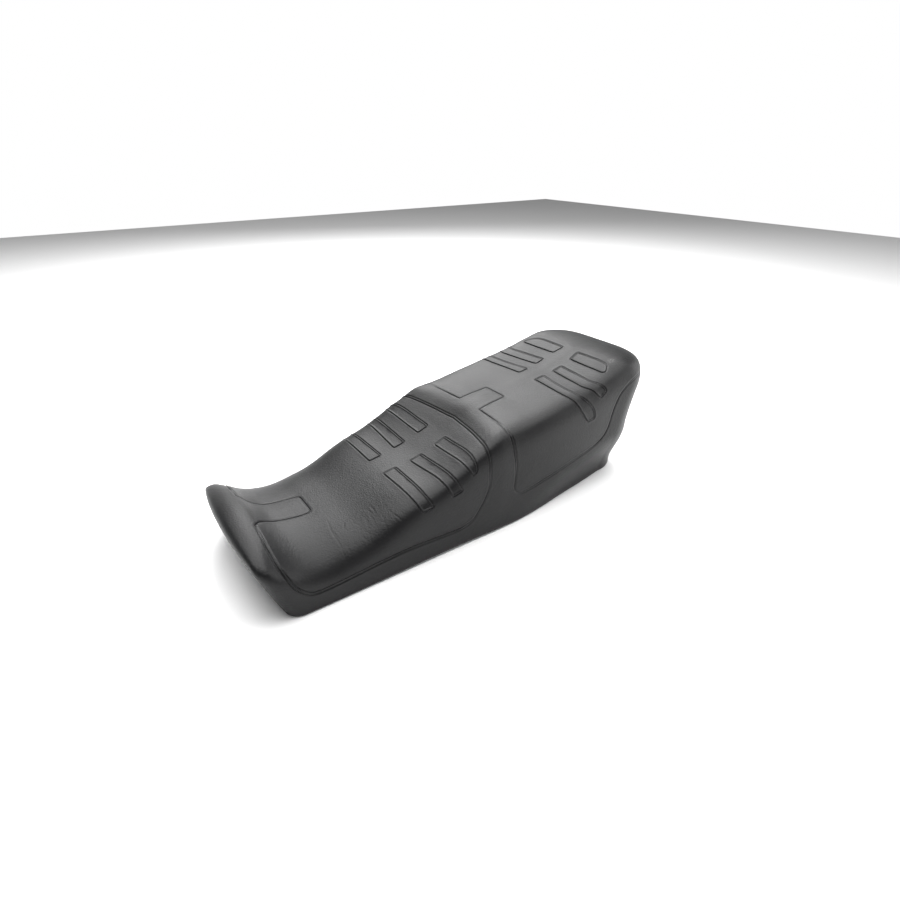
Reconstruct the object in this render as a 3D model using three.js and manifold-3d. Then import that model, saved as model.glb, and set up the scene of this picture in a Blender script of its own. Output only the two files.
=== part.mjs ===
// A two-up motorcycle seat: vinyl cover, foam and moulded pan, with the fittings under the pan.
// Millimetres. +X points to the front of the seat, +Y to its left, +Z up. The hem stands on z = 0.
import * as THREE from "three";
import { mergeVertices } from "three/addons/utils/BufferGeometryUtils.js";
import Module from "manifold-3d";

const wasm = await Module();
wasm.setup();

// ---------- Driving dimensions ----------
const LENGTH = 730;
const WIDTH = 264;
const HEIGHT = 217;
const CLEARANCE = 0.3;

const COVER_WALL = 2.4;
const HEM_TURN_IN = 20;
const RIM_CLEARANCE = 1;
const FRONT_BOW = 9;
const FRONT_CORNER_RADIUS = 18;
const REAR_CORNER_RADIUS = 70;
const WING_REACH = 42;
const WING_LENGTH = 100;

const FOAM_SIDE = 10;
const PAN_WALL = 3;
const PAN_DEPTH = 44;
const PAN_EDGE = 9;
const PAN_STRAIGHT = 128;
const PAN_FRONT_SETBACK = 62;
const PAN_REAR_SETBACK = 42;
const PAN_CORNER_RADIUS = 30;
const RIB_DEPTH = 8;
const RIB_WALL = 3;
const RIB_REACH = 92;
const VENT_RADIUS = 6;

const BUFFER_RADIUS = 12;
const BUFFER_HEIGHT = 13;
const BUFFER_STEM_RADIUS = 4;
const BUFFER_STEM_LENGTH = 9;
const BOSS_RADIUS = 14;
const BOSS_DEPTH = 10;

const PLATE = 2.5;
const HINGE_LENGTH = 50;
const KNUCKLE_LENGTH = 12;
const KNUCKLE_WALL = 1.6;
const HINGE_PIN_RADIUS = 3;
const HINGE_STANDOFF = 12;
const FRAME_LEAF_REACH = 46;
const BOLT_BELOW_EDGE = 8;
const HINGE_BELOW_BOLT = 13;
const BOLT_SPREAD = 14;
const BOLT_RADIUS = 3;
const BOLT_HEAD_RADIUS = 5.5;
const BOLT_HEAD_HEIGHT = 4;
const NUT_PLATE = 3;
const NUT_PLATE_HEIGHT = 14;
const FRAME_HOLE_RADIUS = 4.2;

const STRIKER_ROD_RADIUS = 4;
const STRIKER_EAR = 4;

const PROP_RADIUS = 3;
const PROP_LENGTH = 250;
const PROP_FOOT = 27;
const PROP_PIN_RADIUS = 2.5;
const PROP_EYE_WALL = 3;
const PROP_TIP_WALL = 2;
const BRACKET_GAP = 8;
const SCREW_RADIUS = 2;
const SCREW_HEAD_RADIUS = 4;
const SCREW_HEAD_HEIGHT = 2.2;

// ---------- Places along the seat, as shares of its half length ----------
const HALF_LENGTH = LENGTH / 2;
const HALF_WIDTH = WIDTH / 2;
const HINGE_X = { front: 0.54 * HALF_LENGTH, rear: -0.04 * HALF_LENGTH };
const STRIKER_X = 0.06 * HALF_LENGTH;
const PROP_X = -0.22 * HALF_LENGTH;
const PROP_Y = 0.3 * HALF_WIDTH;
const BUFFER_PLACES = [
  [0.66, 0.46],
  [0.18, 0.62],
  [-0.62, 0.4],
];

// ---------- Outline of the seat, as shares of its half length, height and half width ----------
const CROWN = [
  [-1, 0.94], [-0.95, 0.98], [-0.883, 1], [-0.788, 0.98], [-0.69, 0.925], [-0.586, 0.866],
  [-0.468, 0.827], [-0.282, 0.776], [-0.129, 0.737], [-0.033, 0.654], [0.047, 0.585], [0.164, 0.512],
  [0.23, 0.484], [0.356, 0.447], [0.556, 0.369], [0.68, 0.358], [0.753, 0.364], [0.822, 0.382],
  [0.866, 0.418], [0.9, 0.462], [0.925, 0.48], [0.955, 0.488], [1, 0.482],
];
// How far the top rises, or falls, towards the sides.
const DISH = [
  [-1, -0.012], [-0.86, -0.004], [-0.75, 0.03], [-0.62, 0.05], [-0.45, 0.042], [-0.28, 0.025],
  [-0.13, 0.012], [-0.02, 0.05], [0.08, 0.055], [0.2, 0.048], [0.4, 0.04], [0.56, 0.036],
  [0.7, 0.008], [0.8, -0.03], [0.9, -0.1], [0.96, -0.11], [1, -0.11],
];
const BELT = [
  [-1, 0.5], [-0.84, 0.48], [-0.68, 0.42], [-0.56, 0.364], [-0.32, 0.28], [-0.04, 0.24],
  [0.11, 0.16], [0.22, 0.138], [0.41, 0.166], [0.59, 0.143], [0.82, 0.115], [1, 0.115],
];
const SIDE_POWER = [
  [-1, 6.5], [-0.84, 8], [-0.34, 9], [-0.12, 7.5], [0, 6], [0.12, 6.4], [0.25, 6], [0.38, 4.4],
  [0.52, 2.9], [0.67, 2.3], [0.78, 2.3], [0.87, 3.4], [0.93, 5.5], [1, 9],
];
const HEM_HALF = [
  [-1, 0.62], [-0.86, 0.68], [-0.61, 0.8], [-0.44, 0.87], [-0.3, 0.935], [-0.14, 0.985],
  [0.1, 0.992], [1, 0.992],
];
const TOP_HALF = [[-1, 0.94], [-0.6, 0.97], [-0.3, 0.995], [1, 0.995]];
const FRONT_LEAN = [
  [0, 0.894], [0.115, 0.922], [0.226, 0.946], [0.364, 0.975], [0.45, 0.985], [1, 0.985],
];
const REAR_LEAN = [
  [0, 0.953], [0.15, 0.94], [0.29, 0.932], [0.48, 0.932], [0.68, 0.964], [0.82, 0.995], [1, 1],
];
const HEM_ARCH = [[-0.4, 0], [-0.2, 0], [0.3, 0.012], [0.78, 0], [1, 0]];
const DECK_RISE = [
  [-1, 0.39], [-0.85, 0.37], [-0.6, 0.325], [-0.3, 0.275], [-0.1, 0.215], [0.1, 0.135], [0.3, 0.045],
  [0.5, 0], [0.7, 0], [1, 0],
];
const FRONT_END_POWER = 14;
const REAR_END_POWER = 8;
const PAN_POWER = 4;
const SPINE_ENDS = [-0.76, 0.88];

const WELD = 1e-3;
const mix = (a, b, t) => a + (b - a) * t;
const clamp = (value, low, high) => Math.min(high, Math.max(low, value));
const smooth = (t) => clamp(t, 0, 1) ** 2 * (3 - 2 * clamp(t, 0, 1));

// A smooth curve through points given in order of their first number.
function curveThrough(knots) {
  const slopes = knots.map((knot, i) => {
    const before = knots[Math.max(i - 1, 0)];
    const after = knots[Math.min(i + 1, knots.length - 1)];
    return (after[1] - before[1]) / (after[0] - before[0]);
  });
  return (value) => {
    const at = clamp(value, knots[0][0], knots[knots.length - 1][0]);
    const i = clamp(knots.findIndex((knot) => knot[0] > at) - 1, 0, knots.length - 2);
    const last = at >= knots[knots.length - 1][0];
    const k = last ? knots.length - 2 : i;
    const span = knots[k + 1][0] - knots[k][0];
    const t = (at - knots[k][0]) / span;
    const start = (1 + 2 * t) * (1 - t) ** 2 * knots[k][1] + t * (1 - t) ** 2 * span * slopes[k];
    const end = t * t * (3 - 2 * t) * knots[k + 1][1] + t * t * (t - 1) * span * slopes[k + 1];
    return start + end;
  };
}

const along = (knots, scale) => {
  const curve = curveThrough(knots);
  return (x) => scale * curve(x / HALF_LENGTH);
};
const crownLine = along(CROWN, HEIGHT);
const dishLine = along(DISH, HEIGHT);
const beltLine = along(BELT, HEIGHT);
const sidePower = along(SIDE_POWER, 1);
const hemHalf = along(HEM_HALF, HALF_WIDTH);
const topHalf = along(TOP_HALF, HALF_WIDTH);
const hemRise = along(HEM_ARCH, HEIGHT);
const hemLine = (x) => Math.max(0, hemRise(x));
const deckRise = along(DECK_RISE, HEIGHT);
const deckLine = (x) => PAN_DEPTH + Math.max(0, deckRise(x));
const frontLean = curveThrough(FRONT_LEAN);
const rearLean = curveThrough(REAR_LEAN);

// ---------- Forms: a crowned top inside a walled outline ----------
const WING_X = 10;
const REFERENCE_SHARE = 0.6;
// The step up to the passenger's part comes further forward at the sides than in the middle.
function coverCrown(x, y) {
  const across = (y / HALF_WIDTH) ** 2;
  const near = Math.exp(-(((x - WING_X) / WING_LENGTH) ** 2));
  return crownLine(x - WING_REACH * across * near) + dishLine(x) * across;
}

const COVER = {
  front: (z) => HALF_LENGTH * frontLean(z / HEIGHT),
  rear: (z) => -HALF_LENGTH * rearLean(z / HEIGHT),
  half: (x, z) => mix(hemHalf(x), topHalf(x), smooth(z / beltLine(x))),
  bow: FRONT_BOW,
  frontRadius: FRONT_CORNER_RADIUS,
  rearRadius: REAR_CORNER_RADIUS,
  crown: coverCrown,
  belt: beltLine,
  power: sidePower,
  frontPower: FRONT_END_POWER,
  rearPower: REAR_END_POWER,
  foot: (x) => hemLine(x),
  reference: HEIGHT * REFERENCE_SHARE,
  shoulder: [[0, 1], [16, 1], [34, 1], [52, 1], [70, 1], [70, 0.66], [70, 0.33], [70, 0]],
  wallShares: [0.5, 1],
};

const PAN = {
  front: () => HALF_LENGTH - PAN_FRONT_SETBACK,
  rear: () => -HALF_LENGTH + PAN_REAR_SETBACK,
  half: (x) => Math.min(hemHalf(x), PAN_STRAIGHT) - COVER_WALL - FOAM_SIDE,
  bow: 0,
  frontRadius: PAN_CORNER_RADIUS,
  rearRadius: PAN_CORNER_RADIUS,
  crown: (x) => deckLine(x),
  belt: (x) => deckLine(x) - PAN_EDGE,
  power: () => PAN_POWER,
  frontPower: PAN_POWER,
  rearPower: PAN_POWER,
  foot: (x) => hemLine(x) + COVER_WALL + RIM_CLEARANCE,
  reference: 0,
  shoulder: [[0, 1], [30, 1], [60, 1], [60, 0.5], [60, 0]],
  wallShares: [1],
};

const ZONES = [["front", 3], ["frontCorner", 3], ["side", 14], ["rearCorner", 4], ["rear", 3]];

// Stations round the outline, from the middle of the front by the left side and back by the right.
function stations() {
  const places = ([zone, steps]) => Array.from({ length: steps }, (_, i) => ({ zone, t: i / steps }));
  const half = ZONES.flatMap(places);
  half.push({ zone: "rear", t: 1 });
  const left = half.map((place) => ({ ...place, side: 1 }));
  const right = half.slice(1, -1).reverse().map((place) => ({ ...place, side: -1 }));
  return [...left, ...right];
}
const STATIONS = stations();

function outline(form, { zone, t, side }, z, inset) {
  const front = form.front(z) - inset;
  const rear = form.rear(z) + inset;
  const frontRadius = Math.max(form.frontRadius - inset, 4);
  const rearRadius = Math.max(form.rearRadius - inset, 4);
  const frontHalf = form.half(front - frontRadius, z) - inset - frontRadius;
  const rearHalf = form.half(rear + rearRadius, z) - inset - rearRadius;
  const angle = (t * Math.PI) / 2;
  const bow = (y) => form.bow * Math.max(0, 1 - (y / HALF_WIDTH) ** 2);
  const sideX = mix(front - frontRadius, rear + rearRadius, t);
  const places = {
    front: () => [front, frontHalf * t],
    frontCorner: () => {
      const back = frontRadius * (1 - Math.cos(angle));
      return [front - back, frontHalf + frontRadius * Math.sin(angle)];
    },
    side: () => [sideX, form.half(sideX, z) - inset],
    rearCorner: () => [rear + rearRadius * (1 - Math.sin(angle)), rearHalf + rearRadius * Math.cos(angle)],
    rear: () => [rear, rearHalf * (1 - t)],
  };
  const [x, y] = places[zone]();
  const bowed = zone.startsWith("front") ? bow(y) * Math.cos(zone === "front" ? 0 : angle) : 0;
  return [x + bowed, y * side];
}

function stationPower(form, { zone, t }, x) {
  const shares = { front: 1, frontCorner: 1 - t, side: 0, rearCorner: t, rear: 1 };
  const endPower = zone.startsWith("front") ? form.frontPower : form.rearPower;
  return mix(form.power(x), endPower, shares[zone]);
}

// A point of the top, from the belt (angle 0) over the shoulder; share runs from there to the spine.
function topPoint(form, station, angle, share, inset) {
  const [x, y] = outline(form, station, form.reference, inset);
  const spine = clamp(x, HALF_LENGTH * SPINE_ENDS[0], HALF_LENGTH * SPINE_ENDS[1]);
  const power = stationPower(form, station, x);
  const reach = Math.cos(angle) ** (2 / power) * share;
  const rise = (1 - reach ** power) ** (1 / power);
  const crown = form.crown(mix(spine, x, reach), y * reach) - inset;
  const z = mix(form.belt(x), crown, rise);
  const [wallX, wallY] = outline(form, station, z, inset);
  return new THREE.Vector3(mix(spine, wallX, reach), wallY * reach, z);
}

// A point of the wall below the belt; share runs from the belt to the foot.
function wallPoint(form, station, share, inset, lift) {
  const [x] = outline(form, station, form.reference, inset);
  const z = mix(form.belt(x), form.foot(x) + lift, share);
  const [wallX, wallY] = outline(form, station, z, inset);
  return new THREE.Vector3(wallX, wallY, z);
}

function topRings(form, inset) {
  return form.shoulder.map(([degrees, share]) => {
    const angle = THREE.MathUtils.degToRad(degrees);
    return STATIONS.map((station) => topPoint(form, station, angle, share, inset));
  }).reverse();
}

function wallRings(form, inset, lift) {
  const ring = (share) => STATIONS.map((station) => wallPoint(form, station, share, inset, lift));
  return form.wallShares.map(ring);
}

const formRings = (form, inset, lift) => [...topRings(form, inset), ...wallRings(form, inset, lift)];
const ringAt = (form, inset, lift) => STATIONS.map((station) => wallPoint(form, station, 1, inset, lift));

// ---------- Meshes and solids ----------
// A closed body over a run of rings, whose first and last rings are folded on a line or a point.
// Each four-sided patch is split across its shorter diagonal, so nested skins stay parallel.
function loft(rings) {
  const positions = [];
  const face = (...corners) => {
    const flat = corners.some((corner, i) => corner.distanceTo(corners[(i + 1) % 3]) < WELD);
    if (!flat) corners.forEach((corner) => positions.push(corner.x, corner.y, corner.z));
  };
  rings.slice(1).forEach((lower, i) => {
    const upper = rings[i];
    lower.forEach((_, k) => {
      const next = (k + 1) % lower.length;
      if (upper[k].distanceTo(lower[next]) < upper[next].distanceTo(lower[k]) - WELD) {
        face(upper[k], lower[k], lower[next]);
        face(upper[k], lower[next], upper[next]);
      } else {
        face(upper[k], lower[k], upper[next]);
        face(upper[next], lower[k], lower[next]);
      }
    });
  });
  const geometry = new THREE.BufferGeometry();
  geometry.setAttribute("position", new THREE.Float32BufferAttribute(positions, 3));
  return geometry;
}

const shellOf = (outer, inner) => loft([...outer, ...inner.slice().reverse()]);

function solidFrom(geometry) {
  const bare = geometry.index ? geometry.toNonIndexed() : geometry.clone();
  bare.deleteAttribute("normal");
  bare.deleteAttribute("uv");
  const merged = mergeVertices(bare, WELD);
  const vertProperties = merged.attributes.position.array;
  const triVerts = new Uint32Array(merged.index.array);
  return new wasm.Manifold(new wasm.Mesh({ numProp: 3, vertProperties, triVerts }));
}

function geometryFrom(solid) {
  const mesh = solid.getMesh();
  const geometry = new THREE.BufferGeometry();
  geometry.setAttribute("position", new THREE.Float32BufferAttribute(mesh.vertProperties, 3));
  geometry.setIndex(new THREE.BufferAttribute(new Uint32Array(mesh.triVerts), 1));
  geometry.computeVertexNormals();
  return geometry;
}

const joined = (...solids) => solids.reduce((a, b) => a.add(b));
const cutBy = (solid, ...tools) => tools.reduce((a, b) => a.subtract(b), solid);

// A box from its low corner to its high corner.
function block([x0, y0, z0], [x1, y1, z1]) {
  const geometry = new THREE.BoxGeometry(x1 - x0, y1 - y0, z1 - z0);
  geometry.translate((x0 + x1) / 2, (y0 + y1) / 2, (z0 + z1) / 2);
  return solidFrom(geometry);
}

const ROUND_SIDES = 12;
const TURN = {
  x: (geometry) => geometry.rotateZ(-Math.PI / 2),
  y: (geometry) => geometry,
  z: (geometry) => geometry.rotateX(Math.PI / 2),
};

// A body turned about an axis: the profile lists [radius, distance along the axis] and starts and ends on it.
function turned(axis, [x, y, z], profile, sides = ROUND_SIDES) {
  const points = profile.map(([radius, distance]) => new THREE.Vector2(radius, distance));
  const geometry = TURN[axis](new THREE.LatheGeometry(points, sides));
  geometry.translate(x, y, z);
  return solidFrom(geometry);
}

const rod = (axis, from, radius, length, sides) =>
  turned(axis, from, [[0, 0], [radius, 0], [radius, length], [0, length]], sides);

// ---------- Materials ----------
const finish = (color, roughness, metalness) => ({ color, roughness, metalness });
const VINYL = finish(0x1a1a1c, 0.5, 0);
const FOAM = finish(0xb8a468, 0.95, 0);
const PAN_PLASTIC = finish(0x202124, 0.6, 0);
const RUBBER = finish(0x161616, 0.85, 0);
const BLACK_STEEL = finish(0x1d1e20, 0.45, 0.6);
const ZINC = finish(0xb9bcbf, 0.35, 0.9);

const seat = new THREE.Group();
function add(name, shape, look) {
  const geometry = shape.isBufferGeometry ? shape : geometryFrom(shape);
  geometry.computeVertexNormals();
  const mesh = new THREE.Mesh(geometry, new THREE.MeshStandardMaterial(look));
  mesh.name = name;
  seat.add(mesh);
}

// ---------- Cover and foam ----------
function coverShell() {
  const outer = formRings(COVER, 0, 0);
  const hem = [ringAt(COVER, HEM_TURN_IN, 0), ringAt(COVER, HEM_TURN_IN, COVER_WALL)];
  const inner = formRings(COVER, COVER_WALL, COVER_WALL);
  return loft([...outer, ...hem, ...inner.slice().reverse()]);
}

const FOAM_INSET = COVER_WALL + CLEARANCE;
const FOAM_LIFT = COVER_WALL + RIM_CLEARANCE;
const foamShell = () => shellOf(formRings(COVER, FOAM_INSET, FOAM_LIFT), formRings(PAN, -CLEARANCE, 0));

// ---------- Pan ----------
// The pan's wall is straight and upright from its front to just behind the rear hinge.
const wallFaceY = PAN.half(HINGE_X.front) - PAN_WALL;
const leafTop = PAN.belt(HINGE_X.front) - CLEARANCE;
const boltZ = leafTop - BOLT_BELOW_EDGE;
const hingeZ = boltZ - HINGE_BELOW_BOLT;
const deckUnder = (x) => deckLine(x) - PAN_WALL;
const footCentre = STATIONS.map(() => new THREE.Vector3(0, 0, PAN.foot(0)));
const envelope = solidFrom(loft([...formRings(PAN, 0, 0), footCentre]));
const inEnvelope = (solid) => solid.intersect(envelope);

const buffers = BUFFER_PLACES.flatMap(([alongShare, acrossShare], row) =>
  [1, -1].map((side) => {
    const x = alongShare * HALF_LENGTH;
    const name = `${["front", "middle", "rear"][row]}_buffer_${side > 0 ? "left" : "right"}`;
    return { name, x, y: side * acrossShare * HALF_WIDTH, seatZ: deckUnder(x) - BOSS_DEPTH };
  }),
);

const PROP_PAD = 10;
const PROP_PAD_BELOW_RIBS = 6;
const PROP_PIN_BELOW_BASE = 8;
const CLIP_SHARE = 0.8;
const ROD_BELOW_RIBS = 12;
const propPadZ = deckUnder(PROP_X) - RIB_DEPTH - PROP_PAD_BELOW_RIBS;
const propPinZ = propPadZ - PLATE - CLEARANCE - PROP_PIN_BELOW_BASE;
const clipDistance = PROP_LENGTH * CLIP_SHARE;
const CLIP_X = PROP_X + clipDistance;
const rodZAtClip = deckUnder(CLIP_X) - RIB_DEPTH - ROD_BELOW_RIBS;
const propSlope = Math.atan2(propPinZ - rodZAtClip, clipDistance);
const propLineZ = (x) => propPinZ - Math.tan(propSlope) * (x - PROP_X);
const clipPadZ = propLineZ(CLIP_X) + PROP_RADIUS + CLEARANCE + PLATE + CLEARANCE;

const TALL = HEIGHT;
const LONG_RIB_SHARE = 0.2;
const LONG_RIB_ENDS = [-0.8, 0.75];
const CROSS_RIB_SHARES = [-0.72, -0.45, -0.16, 0.08, 0.3, 0.6];
const CROSS_RIB_HALF = RIB_REACH * 0.75;
const VENT_SHARES = [-0.55, -0.3, 0.2, 0.45];
function panRibs() {
  const lowered = { ...PAN, crown: (x) => deckLine(x) - RIB_DEPTH };
  const band = solidFrom(shellOf(formRings(PAN, PAN_WALL / 2, 0), formRings(lowered, PAN_WALL + 1, 0)));
  const lengthwise = [1, -1].map((side) => {
    const y = side * LONG_RIB_SHARE * HALF_WIDTH;
    const [rear, front] = LONG_RIB_ENDS.map((share) => share * HALF_LENGTH);
    return block([rear, y - RIB_WALL / 2, 0], [front, y + RIB_WALL / 2, TALL]);
  });
  const crosswise = CROSS_RIB_SHARES.map((share) => {
    const x = share * HALF_LENGTH;
    return block([x - RIB_WALL / 2, -CROSS_RIB_HALF, 0], [x + RIB_WALL / 2, CROSS_RIB_HALF, TALL]);
  });
  return band.intersect(joined(...lengthwise, ...crosswise));
}

function wallHoles(x, side) {
  return [-1, 1].map((end) => {
    const from = [x + end * BOLT_SPREAD, side > 0 ? wallFaceY - PLATE : -wallFaceY - PAN_WALL * 2, boltZ];
    return rod("y", from, BOLT_RADIUS + CLEARANCE, PAN_WALL * 2 + PLATE);
  });
}

const BRACKET_X = [-13, 13];
const CLIP_SCREW_X = 9;
const padHole = (x, y, z) => rod("z", [x, y, z - 1], SCREW_RADIUS + CLEARANCE, PROP_PAD);

function seatPan() {
  const shell = solidFrom(shellOf(formRings(PAN, 0, 0), formRings(PAN, PAN_WALL, 0)));
  const bosses = buffers.map(({ x, y, seatZ }) => rod("z", [x, y, seatZ], BOSS_RADIUS, TALL));
  const propPad = block([PROP_X - 20, PROP_Y - 10, propPadZ], [PROP_X + 20, PROP_Y + 10, TALL]);
  const clipPad = block([CLIP_X - 6, PROP_Y - 8, clipPadZ], [CLIP_X + 16, PROP_Y + 8, TALL]);
  const body = joined(shell, panRibs(), inEnvelope(joined(...bosses, propPad, clipPad)));
  const stems = buffers.map(({ x, y, seatZ }) =>
    rod("z", [x, y, seatZ - 1], BUFFER_STEM_RADIUS + CLEARANCE, BUFFER_STEM_LENGTH + 1 + CLEARANCE),
  );
  const vents = VENT_SHARES.map((share) =>
    rod("z", [share * HALF_LENGTH, 0, 0], VENT_RADIUS, TALL),
  );
  return cutBy(
    body,
    ...stems,
    ...vents,
    ...wallHoles(HINGE_X.front, -1),
    ...wallHoles(HINGE_X.rear, -1),
    ...wallHoles(STRIKER_X, 1),
    ...BRACKET_X.map((offset) => padHole(PROP_X + offset, PROP_Y, propPadZ)),
    padHole(CLIP_X + CLIP_SCREW_X, PROP_Y, clipPadZ),
  );
}

// ---------- Rubber buffers ----------
function buffer({ x, y, seatZ }) {
  const base = seatZ - CLEARANCE - BUFFER_HEIGHT;
  return turned("z", [x, y, base], [
    [0, 0],
    [BUFFER_RADIUS - 2, 0],
    [BUFFER_RADIUS, 2],
    [BUFFER_RADIUS, BUFFER_HEIGHT],
    [BUFFER_STEM_RADIUS, BUFFER_HEIGHT],
    [BUFFER_STEM_RADIUS, BUFFER_HEIGHT + BUFFER_STEM_LENGTH - 2],
    [BUFFER_STEM_RADIUS - 1.5, BUFFER_HEIGHT + BUFFER_STEM_LENGTH],
    [0, BUFFER_HEIGHT + BUFFER_STEM_LENGTH],
  ]);
}

// ---------- Fasteners ----------
// A bolt or screw along an axis; it points the way its shank goes.
function fastener(axis, [x, y, z], sign, length, radius, headRadius, headHeight, headSides) {
  const flange = 1;
  const profile = [
    [0, -flange],
    [headRadius + 1, -flange],
    [headRadius + 1, 0],
    [radius, 0],
    [radius, length],
    [0, length],
  ].map(([r, distance]) => [r, distance * sign]);
  const ordered = sign > 0 ? profile : profile.reverse();
  const head = [[0, -headHeight], [headRadius, -headHeight], [headRadius, -flange / 2], [0, -flange / 2]]
    .map(([r, distance]) => [r, distance * sign]);
  const headOrdered = sign > 0 ? head : head.reverse();
  return joined(turned(axis, [x, y, z], ordered, 10), turned(axis, [x, y, z], headOrdered, headSides));
}

const WALL_STACK = PLATE + CLEARANCE + PAN_WALL + CLEARANCE + NUT_PLATE;
const plateInnerY = wallFaceY - CLEARANCE - PLATE;

// What bolts to the pan's upright wall: two bolts and the nut plate outside the wall.
function wallFixing(prefix, x, side) {
  [["a", 1], ["b", -1]].forEach(([letter, end]) => {
    const at = [x + end * BOLT_SPREAD, side * (plateInnerY - CLEARANCE), boltZ];
    const shape = fastener("y", at, side, WALL_STACK, BOLT_RADIUS, BOLT_HEAD_RADIUS, BOLT_HEAD_HEIGHT, 6);
    add(`${prefix}_bolt_${letter}`, shape, ZINC);
  });
  const inner = wallFaceY + PAN_WALL + CLEARANCE;
  const ys = [side * inner, side * (inner + NUT_PLATE)].sort((a, b) => a - b);
  const half = BOLT_SPREAD + NUT_PLATE_HEIGHT / 2;
  const low = [x - half, ys[0], boltZ - NUT_PLATE_HEIGHT / 2];
  const plate = block(low, [x + half, ys[1], boltZ + NUT_PLATE_HEIGHT / 2]);
  const holes = [-1, 1].map((end) =>
    rod("y", [x + end * BOLT_SPREAD, ys[0] - 1, boltZ], BOLT_RADIUS + CLEARANCE, NUT_PLATE + 2),
  );
  add(`${prefix}_nut_plate`, cutBy(plate, ...holes), ZINC);
}

// The room that a nut plate and its bolts take in the foam.
function wallFixingRoom(x, side) {
  const room = CLEARANCE * 2;
  const inner = wallFaceY + PAN_WALL - 1;
  const outer = wallFaceY + PAN_WALL + CLEARANCE + NUT_PLATE + room;
  const ys = [side * inner, side * outer].sort((a, b) => a - b);
  const half = BOLT_SPREAD + NUT_PLATE_HEIGHT / 2 + room;
  const rise = NUT_PLATE_HEIGHT / 2 + room;
  return block([x - half, ys[0], boltZ - rise], [x + half, ys[1], boltZ + rise]);
}

// A plate that lies on the inside of the pan's upright wall, with its two bolt holes.
function wallPlate(x, side, bottom) {
  const ys = [side * plateInnerY, side * (plateInnerY + PLATE)].sort((a, b) => a - b);
  const plate = block([x - HINGE_LENGTH / 2, ys[0], bottom], [x + HINGE_LENGTH / 2, ys[1], leafTop]);
  const holes = [-1, 1].map((end) =>
    rod("y", [x + end * BOLT_SPREAD, ys[0] - 1, boltZ], BOLT_RADIUS + CLEARANCE, PLATE + 2),
  );
  return cutBy(plate, ...holes);
}

// ---------- Side hinges on the right ----------
const hingeY = -(plateInnerY - HINGE_STANDOFF);
const barrelRadius = HINGE_PIN_RADIUS + CLEARANCE + KNUCKLE_WALL;
const knuckle = (x0, x1) => rod("x", [x0, hingeY, hingeZ], barrelRadius, x1 - x0);
const pinBore = (x) =>
  rod("x", [x - HINGE_LENGTH, hingeY, hingeZ], HINGE_PIN_RADIUS + CLEARANCE, HINGE_LENGTH * 2);

function panLeaf(x) {
  const half = HINGE_LENGTH / 2;
  const ends = [[x - half, x - half + KNUCKLE_LENGTH], [x + half - KNUCKLE_LENGTH, x + half]];
  const arms = ends.map(([x0, x1]) =>
    block([x0, -plateInnerY - PLATE / 2, hingeZ - PLATE / 2], [x1, hingeY, hingeZ + PLATE / 2]),
  );
  const barrels = ends.map(([x0, x1]) => knuckle(x0, x1));
  return cutBy(joined(wallPlate(x, -1, hingeZ - PLATE / 2), ...arms, ...barrels), pinBore(x));
}

function frameLeaf(x) {
  const half = HINGE_LENGTH / 2 - KNUCKLE_LENGTH - CLEARANCE;
  const wide = HINGE_LENGTH / 2 - 2;
  const rootY = hingeY + barrelRadius + 2;
  const low = hingeZ - PLATE / 2;
  const neck = block([x - half, hingeY, low], [x + half, rootY + 2, low + PLATE]);
  const tab = block([x - wide, rootY, low], [x + wide, hingeY + FRAME_LEAF_REACH, low + PLATE]);
  const holes = [-1, 1].map((end) =>
    rod("z", [x + end * BOLT_SPREAD, hingeY + FRAME_LEAF_REACH * 0.68, 0], FRAME_HOLE_RADIUS, TALL),
  );
  return cutBy(joined(knuckle(x - half, x + half), neck, tab), pinBore(x), ...holes);
}

const GROOVE_DEPTH = 0.8;
const RING_WALL = 1;
const PIN_HEAD_RIM = 2;
const PIN_END = 2;
// A headed pin along an axis with a groove for its ring, and the ring.
function pinProfile(radius, length) {
  const neck = radius - GROOVE_DEPTH;
  const groove = length + CLEARANCE;
  return [
    [0, -PIN_END], [radius + PIN_HEAD_RIM, -PIN_END], [radius + PIN_HEAD_RIM, -CLEARANCE],
    [radius, -CLEARANCE], [radius, groove],
    [neck, groove], [neck, groove + RING_WALL + CLEARANCE], [radius, groove + RING_WALL + CLEARANCE],
    [radius, groove + RING_WALL + PIN_END], [0, groove + RING_WALL + PIN_END],
  ];
}

function retainingRing(axis, [x, y, z], radius, length) {
  const inner = radius - GROOVE_DEPTH + CLEARANCE;
  const start = length + CLEARANCE * 1.5;
  const end = start + RING_WALL - CLEARANCE * 0.5;
  const outer = radius + PIN_HEAD_RIM;
  const section = [[inner, start], [outer, start], [outer, end], [inner, end], [inner, start]];
  return turned(axis, [x, y, z], section);
}

function hinge(prefix, x) {
  const start = [x - HINGE_LENGTH / 2, hingeY, hingeZ];
  add(`${prefix}_hinge_pan_leaf`, panLeaf(x), BLACK_STEEL);
  add(`${prefix}_hinge_frame_leaf`, frameLeaf(x), BLACK_STEEL);
  add(`${prefix}_hinge_pin`, turned("x", start, pinProfile(HINGE_PIN_RADIUS, HINGE_LENGTH)), ZINC);
  add(`${prefix}_hinge_ring`, retainingRing("x", start, HINGE_PIN_RADIUS, HINGE_LENGTH), ZINC);
  wallFixing(`${prefix}_hinge`, x, -1);
}

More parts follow.
